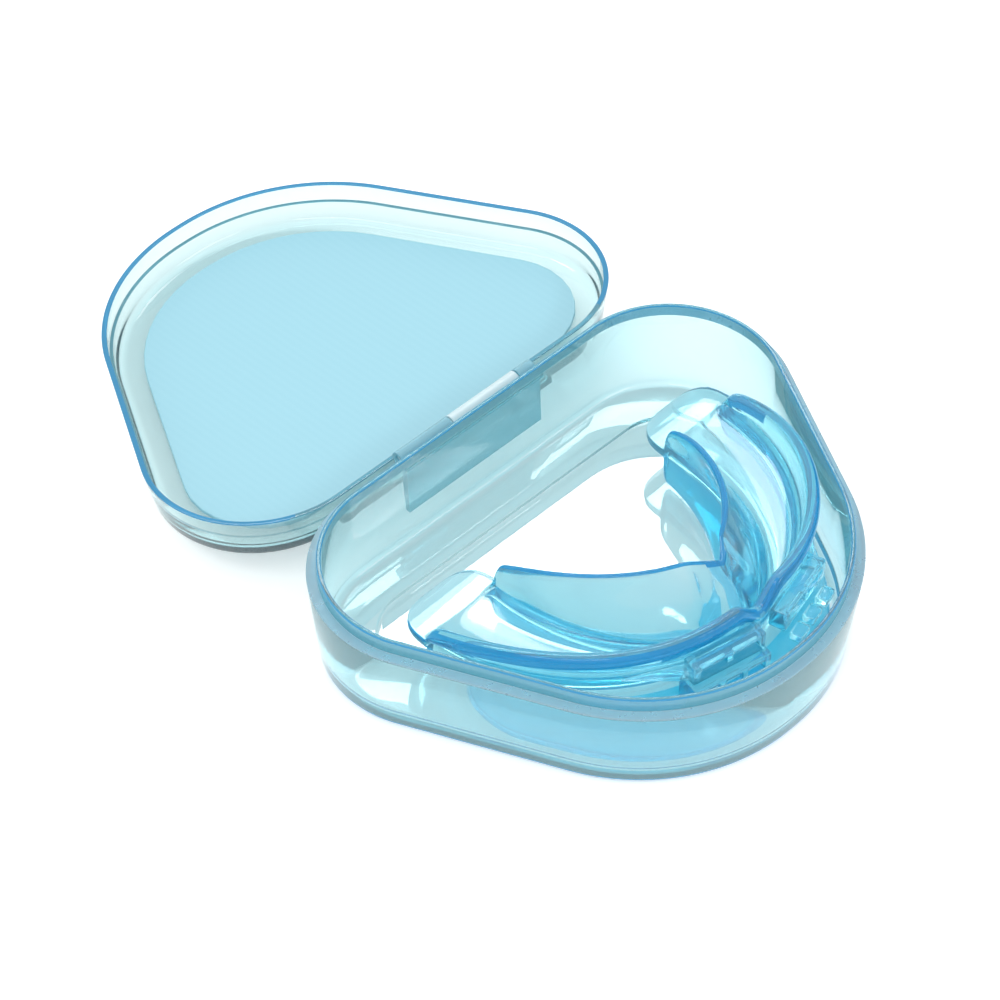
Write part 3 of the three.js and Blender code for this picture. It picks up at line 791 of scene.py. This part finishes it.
def slotted_blocks():
    """Two slotted blocks on the outer wall, either side of the front notch, each with a tapering tail."""
    bm, slots = bmesh.new(), bmesh.new()
    standing = (Matrix.Translation((GUARD_CENTRE.x * MM, HINGE.y + GUARD_CENTRE.y * MM, 0))
                @ Matrix.Rotation(GUARD_TURN, 4, "Z"))
    for side in (-1, 1):
        aside = (standing @ Matrix.Translation((side * BLOCK_ASIDE * MM, BLOCK_AHEAD * MM, 0))
                 @ Matrix.Rotation(side * BLOCK_TURN, 4, "Z"))
        shapes = [(bm, size, middle, BLOCK_ROUNDING) for size, middle in BLOCKS]
        for column in (-1, 1):
            shapes.append((slots, UPPER_SLOT, (column * 2.6, -1.7, 12.3), SLOT_ROUNDING))
        for column in (-1, 0, 1):
            shapes.append((slots, LOWER_SLOT, (column * 3.6 + 0.2, -2.9, 8.6), SLOT_ROUNDING))
        for target, size, middle, rounding in shapes:
            box = (aside @ Matrix.Translation(Vector(middle) * MM)
                   @ Matrix.Diagonal((*[side_length * MM for side_length in size], 1)))
            cube = bmesh.ops.create_cube(target, size=1.0, matrix=box)
            edges = {edge for vert in cube["verts"] for edge in vert.link_edges}
            bmesh.ops.bevel(target, geom=list(edges), offset=rounding * MM, affect="EDGES", segments=3,
                            profile=0.5, material=-1)
        x, y, z = TAIL_PLACE
        tail = (standing @ Matrix.Translation((side * x * MM, y * MM, z * MM))
                @ Matrix.Rotation(side * TAIL_TURN, 4, "Z")
                @ Matrix.Rotation(side * math.pi / 2, 4, "Y"))
        bmesh.ops.create_cone(bm, cap_ends=True, segments=24, radius1=TAIL_RADII[0] * MM,
                              radius2=TAIL_RADII[1] * MM, depth=TAIL_LENGTH * MM, matrix=tail)
    return carved(bm, slots, "DIFFERENCE")


def mouthguard():
    """The rounded arch with its slotted blocks, with painted shade deepening the blue along the beads and inner
    edge, and painted light, a bluer tint with a stronger painted glow, on the skirt.
    """
    arch = as_object("arch", guard_arch())
    smoother = arch.modifiers.new("round", "SUBSURF")
    smoother.levels = smoother.render_levels = 1
    bm = carved(worked(arch), slotted_blocks(), "UNION")
    unturned = Matrix.Rotation(-GUARD_TURN, 3, "Z")
    centre = place(*GUARD_CENTRE, 0)
    skirt_top = 6.5

    def on_arch(face, arch):
        """Where a face lies: how far forward, how far out (1 is on the arch's line), and its height."""
        spot = unturned @ (face.calc_center_median() - centre) / MM
        half_width, depth, power = arch
        ahead = min(max(-spot.y / depth, 0), 1)
        reached = ((abs(spot.x) / half_width) ** power + ahead ** power) ** (1 / power)
        return ahead ** (power / 2), reached, spot.z

    def outer_side(face):
        return face.normal.xy.dot((face.calc_center_median() - centre).xy) > 0

    def on_bead(face):
        front, reached, height = on_arch(face, OUTER_ARCH)
        near_crest = 0.96 < reached < 1.03 and height > outer_crest(front) - 2.4
        return near_crest and outer_side(face) and face.normal.z < 0.9

    def on_inner_edge(face):
        front, reached, height = on_arch(face, INNER_ARCH)
        return 0.8 < reached < 1.1 and height > inner_crest(front) - 0.45

    def on_skirt(face):
        return face.calc_center_median().z < skirt_top * MM and outer_side(face)

    # The beads and the inner edge take painted shade, and the skirt painted light and glow.
    piece = finished("two_arch_guard", bm, "guard", guard_plastic, smooth_angle=55, zones=(
        (bead_painted_shade, on_bead),
        (bead_painted_shade, on_inner_edge),
        (skirt_painted_light, on_skirt),
    ))
    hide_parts("mouthguard")
    return piece


# ---------------------------------------------------------------- camera, floor and light, in metres
FLOOR_RADIUS = 3.0
FLOOR_DROP = 0.0002
STRIP_DISTANCE = 0.8
STRIP_HEIGHT = 0.1


def aimed(thing, azimuth, elevation, distance, target):
    """Stands a camera or light off a target and turns it to look at it. Angles are in radians."""
    bpy.context.scene.collection.objects.link(thing)
    back = Vector((math.sin(azimuth) * math.cos(elevation), -math.cos(azimuth) * math.cos(elevation),
                   math.sin(elevation)))
    thing.location = target + back * distance
    thing.rotation_mode = "QUATERNION"
    thing.rotation_quaternion = (-back).to_track_quat("-Z", "Y")


def camera():
    """A long lens above the base's front left, a hair out of level."""
    data = bpy.data.cameras.new("camera")
    data.sensor_width = 36
    data.lens = 117.3
    data.shift_x = 0.0238
    data.shift_y = -0.05
    data.clip_start = 0.01
    data.clip_end = 10
    eye = bpy.data.objects.new("camera", data)
    aimed(eye, azimuth=-0.7588, elevation=0.8291, distance=0.4569, target=place(0.0, -2.17, 8))
    roll = Matrix.Rotation(-0.0071, 3, "Z").to_quaternion()
    eye.rotation_quaternion = eye.rotation_quaternion @ roll
    bpy.context.scene.camera = eye


def soft_box(name, azimuth, elevation, width, power):
    """A long narrow strip light that looks at the middle of the table. Angles are in degrees."""
    data = bpy.data.lights.new(name, "AREA")
    data.shape = "RECTANGLE"
    data.size = width
    data.size_y = STRIP_HEIGHT
    data.energy = power
    light = bpy.data.objects.new(name, data)
    aimed(light, math.radians(azimuth), math.radians(elevation), STRIP_DISTANCE, Vector((0, 0, 0)))


def studio():
    """A white paper floor just under the case, an even pale room and three strip lights."""
    bm = bmesh.new()
    bmesh.ops.create_circle(bm, cap_ends=True, segments=64, radius=FLOOR_RADIUS)
    floor = as_object("floor", bm)
    floor.location.z = -FLOOR_DROP
    paper = bpy.data.materials.new("white_paper")
    paper.use_nodes = True
    surface = paper.node_tree.nodes["Principled BSDF"]
    surface.inputs["Base Color"].default_value = (0.9, 0.9, 0.9, 1)
    surface.inputs["Roughness"].default_value = 0.9
    surface.inputs["Emission Color"].default_value = (1, 1, 1, 1)
    surface.inputs["Emission Strength"].default_value = 0.35
    floor.data.materials.append(paper)
    world = bpy.data.worlds.new("studio")
    world.use_nodes = True
    background = world.node_tree.nodes["Background"]
    background.inputs["Color"].default_value = (1.0, 0.995, 0.985, 1)
    background.inputs["Strength"].default_value = 0.95
    bpy.context.scene.world = world
    soft_box("key", azimuth=-80, elevation=60, width=0.6, power=0.9)
    soft_box("rim", azimuth=150, elevation=50, width=0.6, power=1.2)
    soft_box("front", azimuth=20, elevation=40, width=0.5, power=0.9)
    bpy.context.scene.view_settings.view_transform = "Standard"


camera()
studio()
case_base()
case_lid()
mouthguard()

# The CAD's own liner, hinge leaf and pin stay, with better finishes.
for node, material in (("lid_liner", liner_film()), ("hinge_leaf", leaf_plastic),
                       ("hinge_pin", drawn_wire())):
    frame["nodes"][node].data.materials.clear()
    frame["nodes"][node].data.materials.append(material)
